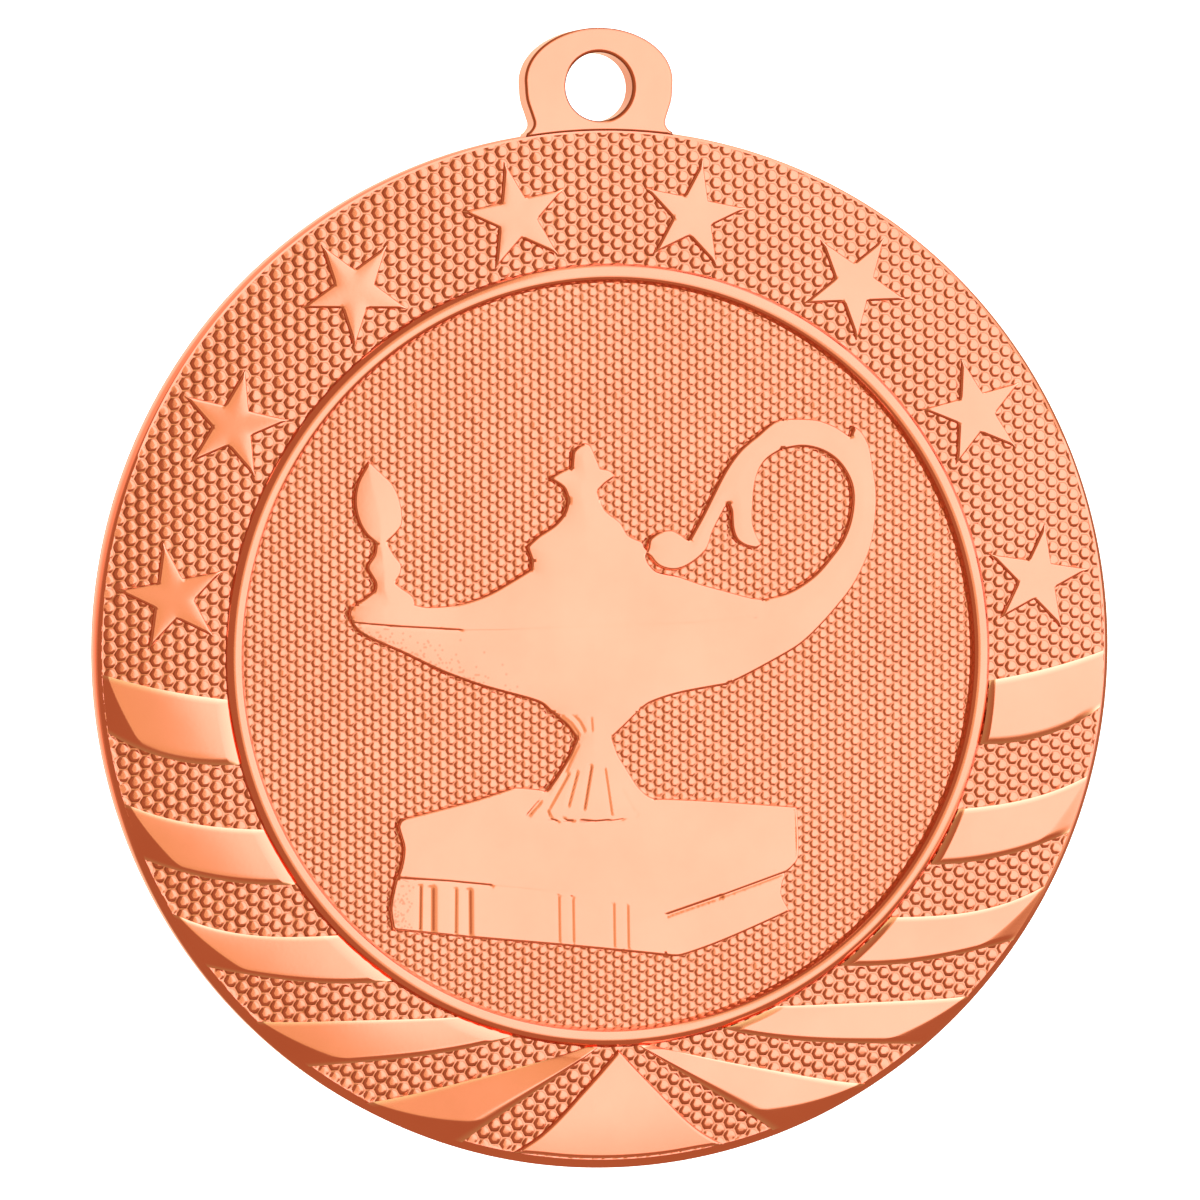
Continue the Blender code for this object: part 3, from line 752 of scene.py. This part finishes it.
def joined_outlines(names, step, reach=0.14):
    """Outlines of pieces that meet, closed up along their joints, and each one's free edges."""
    drawn = {name: np.array(smooth_loop(outlines(name)[0], step)) for name in names}
    joined = {}
    free = {}
    for name in names:
        loop = drawn[name]
        others = [pair for other in names if other != name for pair in sides([drawn[other].tolist()])]
        nearest = np.full(len(loop), 1e9)
        target = loop.copy()
        for a, b in others:
            start = np.asarray(a)
            along = np.asarray(b) - start
            t = np.clip(((loop - start) @ along) / max(float(along @ along), 1e-12), 0.0, 1.0)
            foot = start + t[:, None] * along
            far = np.hypot(*(loop - foot).T)
            closer = far < nearest
            nearest[closer] = far[closer]
            target[closer] = foot[closer]
        meets = nearest < reach
        moved = np.where(meets[:, None], 0.5 * (loop + target), loop)
        points = [tuple(p) for p in moved.tolist()]
        joined[name] = points
        count = len(points)
        free[name] = [(points[k], points[(k + 1) % count]) for k in range(count)
                      if not (meets[k] and meets[(k + 1) % count])]
    return joined, free


def plateau(low, high, width, swell, softness):
    """A nearly flat top: a rounded edge, then a faint swell."""
    def top(x, z, d):
        t = np.minimum(1.0, d / width)
        return low + (high - low) * (1.0 - (1.0 - t) ** 2) + swell * (1.0 - np.exp(-d / softness))
    return top


# Scratched or chased lines: the points along each, its half width and its depth
BOWL_LINES = [
    ([(-12.82, 1.58), (-10.51, 1.34), (-7.56, 1.12)], 0.06, 0.04),
    ([(-7.56, 1.12), (-5.56, 1.08), (3.94, 1.20), (7.38, 1.46)], 0.06, 0.012),
]
NECK_LINES = [
    ([(-2.70, -3.14), (-2.20, -3.55), (-1.83, -4.03)], 0.07, 0.022),
    ([(-2.06, -3.16), (-1.75, -3.48), (-1.53, -3.89)], 0.07, 0.022),
    ([(-1.17, -3.28), (-1.13, -3.90)], 0.06, 0.015),
]
FLUTES = [
    ([(-2.35, -5.99), (-3.32, -7.61)], 0.06, 0.028), ([(-1.91, -5.91), (-2.38, -7.54)], 0.06, 0.030),
    ([(-1.21, -5.63), (-1.60, -7.71)], 0.07, 0.034), ([(-0.52, -5.80), (-0.23, -8.03)], 0.06, 0.028),
    ([(0.31, -6.79), (1.08, -8.17)], 0.05, 0.012), ([(-1.85, -4.60), (-2.60, -6.10)], 0.06, 0.015),
]
SCALLOPS = [
    ([(-3.75, -7.30), (-4.45, -8.05)], 0.08, 0.030),
    ([(-3.42, -7.75), (-3.28, -8.18), (-2.88, -8.32)], 0.07, 0.034),
    ([(-2.63, -8.15), (-2.45, -8.30), (-2.15, -8.31)], 0.07, 0.034),
    ([(-1.70, -8.30), (-1.01, -8.38), (-0.31, -8.34)], 0.07, 0.034),
    ([(-0.21, -8.37), (0.43, -8.29)], 0.06, 0.020),
]
BOOK_LINES = [
    ([(-10.96, -10.83), (-8.28, -11.09), (-6.26, -11.34)], 0.07, 0.035),
    ([(-6.26, -11.34), (-2.80, -11.74), (2.20, -12.29)], 0.05, 0.007),
    ([(2.52, -13.06), (5.22, -12.24)], 0.09, 0.060), ([(5.22, -12.24), (8.82, -11.07)], 0.08, 0.040),
    ([(4.04, -12.19), (7.93, -10.99)], 0.05, 0.012), ([(9.04, -8.13), (9.06, -10.54)], 0.06, 0.028),
]
SPINE_BANDS = [
    ([(-9.80, -11.25), (-9.87, -13.45)], 0.10, 0.035), ([(-9.24, -11.40), (-9.28, -13.50)], 0.19, 0.045),
    ([(-8.05, -11.45), (-8.10, -13.62)], 0.09, 0.030), ([(-7.38, -11.55), (-7.40, -13.70)], 0.15, 0.040),
    ([(-2.93, -11.90), (-2.93, -14.30)], 0.06, 0.025), ([(-2.23, -12.00), (-2.23, -14.40)], 0.06, 0.025),
    ([(-0.19, -12.40), (-0.19, -14.70)], 0.06, 0.025), ([(0.51, -12.50), (0.51, -14.80)], 0.06, 0.025),
]


def build_lamp_and_books():
    """The oil lamp on two closed books, in low, nearly flat relief."""
    drawn, free = joined_outlines(LAMP + BOOKS, 0.14)
    lamp_top = plateau(1.98, 2.14, 0.09, 0.05, 1.0)
    tops = {name: lamp_top for name in LAMP}
    tops["upper_book"] = plateau(1.98, 2.15, 0.09, 0.0, 1.0)
    tops["lower_book_spine"] = plateau(1.98, 2.12, 0.09, 0.0, 1.0)
    tops["lower_book_pages"] = plateau(1.96, 2.09, 0.09, 0.0, 1.0)
    marks = {"lamp_foot": FLUTES + NECK_LINES + SCALLOPS,
             "lamp_bowl": BOWL_LINES + NECK_LINES,
             "lamp_shoulder": BOWL_LINES,
             "upper_book": SCALLOPS + FLUTES + BOOK_LINES,
             "lower_book_pages": BOOK_LINES,
             "lower_book_spine": SPINE_BANDS + BOOK_LINES}

    def spout_specks(x, z, d):
        return 0.30 * np.exp(-d / 0.40) * np.clip((-4.0 - x) / 4.0, 0.0, 1.0)

    def spine_specks(x, z, d):
        return 0.25 * np.clip((-9.9 - x) / 0.8, 0.0, 1.0)

    specks = {"lamp_bowl": spout_specks, "lower_book_spine": spine_specks}
    for name, plain in tops.items():

        def top(x, z, d, name=name, plain=plain):
            h = plain(x, z, d)
            for line, width, depth in marks.get(name, []):
                h = h - groove(x, z, line, width, depth)
            return h

        relief(name + "_face", [name], relief_metal, [drawn[name]], top, CENTRE_H - 0.3,
               0.09, (0.025, 0.055, 0.09, 0.15), free[name], specks=specks.get(name))


# ---------------------------------------------------------------- studio

STUDIO_STRENGTH = 2.03


def fill_ramp(ramp, stops, span):
    """Colours along a ramp, each at an angle between minus and plus half a span."""
    while len(ramp.elements) < len(stops):
        ramp.elements.new(0.5)
    for element, (angle, colour) in zip(ramp.elements, stops):
        element.position = (angle + 0.5 * span) / span
        element.color = colour


def build_studio():
    """A white sweep, and tinted surroundings for the copper to mirror: pale right, dark left."""
    world = bpy.data.worlds.new("studio")
    bpy.context.scene.world = world
    world.use_nodes = True
    nodes = world.node_tree.nodes
    links = world.node_tree.links
    place = nodes.new("ShaderNodeTexCoord")
    split = nodes.new("ShaderNodeSeparateXYZ")
    links.new(place.outputs["Generated"], split.inputs["Vector"])
    ahead = nodes.new("ShaderNodeMath")
    ahead.operation = "MULTIPLY"
    ahead.inputs[1].default_value = -1.0
    links.new(split.outputs["Y"], ahead.inputs[0])
    turn = nodes.new("ShaderNodeMath")
    turn.operation = "ARCTAN2"
    links.new(split.outputs["X"], turn.inputs[0])
    links.new(ahead.outputs[0], turn.inputs[1])
    side = nodes.new("ShaderNodeMapRange")
    side.inputs["From Min"].default_value = -math.pi
    side.inputs["From Max"].default_value = math.pi
    links.new(turn.outputs[0], side.inputs["Value"])
    around = nodes.new("ShaderNodeValToRGB")
    pale = (0.96, 1.00, 1.00, 1.0)
    mid = (0.50, 0.47, 0.27, 1.0)
    dark = (0.24, 0.135, 0.07, 1.0)
    behind = (0.62, 0.40, 0.27, 1.0)
    stops = [(-180, behind), (-112, behind), (-95, dark), (-7, dark), (-4.5, mid), (6.6, mid), (8, pale),
             (80, pale), (104, dark), (138, dark), (155, behind)]
    fill_ramp(around.color_ramp, stops, 360.0)
    links.new(side.outputs["Result"], around.inputs["Fac"])

    height = nodes.new("ShaderNodeMath")
    height.operation = "ARCSINE"
    links.new(split.outputs["Z"], height.inputs[0])
    rise = nodes.new("ShaderNodeMapRange")
    rise.inputs["From Min"].default_value = -0.5 * math.pi
    rise.inputs["From Max"].default_value = 0.5 * math.pi
    links.new(height.outputs[0], rise.inputs["Value"])
    upward = nodes.new("ShaderNodeValToRGB")
    white = (1.0, 1.0, 1.0, 1.0)
    warm = (0.52, 0.50, 0.32, 1.0)
    low = (0.24, 0.135, 0.07, 1.0)
    stops = [(-90, low), (-28, low), (-20, warm), (-13, white), (62, white), (80, warm)]
    fill_ramp(upward.color_ramp, stops, 180.0)
    links.new(rise.outputs["Result"], upward.inputs["Fac"])

    both = nodes.new("ShaderNodeMix")
    both.data_type = "RGBA"
    both.blend_type = "DARKEN"
    both.inputs["Factor"].default_value = 1.0
    links.new(around.outputs["Color"], both.inputs["A"])
    links.new(upward.outputs["Color"], both.inputs["B"])
    links.new(both.outputs["Result"], nodes["Background"].inputs["Color"])
    nodes["Background"].inputs["Strength"].default_value = STUDIO_STRENGTH

    paper = bpy.data.materials.new("white_paper")
    paper.use_nodes = True
    shader = paper.node_tree.nodes["Principled BSDF"]
    shader.inputs["Base Color"].default_value = (0.9, 0.9, 0.9, 1.0)
    shader.inputs["Roughness"].default_value = 0.9
    shader.inputs["Emission Color"].default_value = (1.0, 1.0, 1.0, 1.0)
    shader.inputs["Emission Strength"].default_value = 0.8
    mesh = bpy.data.meshes.new("sweep")
    profile = [(-3.0, -1.0)]
    for k in range(17):
        a = 0.5 * math.pi * k / 16
        profile.append((1.2 + 0.8 * math.sin(a), -1.0 + 0.8 * (1.0 - math.cos(a))))
    profile.append((2.0, 3.0))
    points = [(x, y, z) for y, z in profile for x in (-4.0, 4.0)]
    faces = [(2 * k, 2 * k + 1, 2 * k + 3, 2 * k + 2) for k in range(len(profile) - 1)]
    mesh.from_pydata(points, [], faces)
    mesh.materials.append(paper)
    mesh.shade_smooth()
    sweep = bpy.data.objects.new("sweep", mesh)
    bpy.context.scene.collection.objects.link(sweep)
    sweep.visible_glossy = False


# The camera: its place, its turns in degrees, and its focal length on a 36 mm wide sensor
CAMERA_AT = (-79.98, -350.24, -13.64)
CAMERA_YAW = 12.834
CAMERA_PITCH = -1.818
CAMERA_ROLL = -0.886
LENS_MM = 220.434


def build_camera():
    """A long lens from a little left of the medal's normal."""
    yaw = math.radians(CAMERA_YAW)
    pitch = math.radians(CAMERA_PITCH)
    roll = math.radians(CAMERA_ROLL)
    ahead = Vector((math.sin(yaw) * math.cos(pitch), math.cos(yaw) * math.cos(pitch), math.sin(pitch)))
    right = Vector((math.cos(yaw), -math.sin(yaw), 0.0))
    up = right.cross(ahead)
    r2 = right * math.cos(roll) + up * math.sin(roll)
    u2 = up * math.cos(roll) - right * math.sin(roll)
    lens = bpy.data.cameras.new("camera")
    lens.sensor_width = 36.0
    lens.lens = LENS_MM
    lens.clip_start = 0.01
    lens.clip_end = 20.0
    camera = bpy.data.objects.new("camera", lens)
    bpy.context.scene.collection.objects.link(camera)
    turn = Matrix((r2, u2, -ahead)).transposed().to_4x4()
    camera.matrix_world = Matrix.Translation(Vector(CAMERA_AT) * MM) @ turn
    bpy.context.scene.camera = camera
    bpy.context.scene.view_settings.view_transform = "Standard"


build_fields()
build_blank()
build_lug()
build_stars()
build_rays()
build_lamp_and_books()
build_studio()
build_camera()
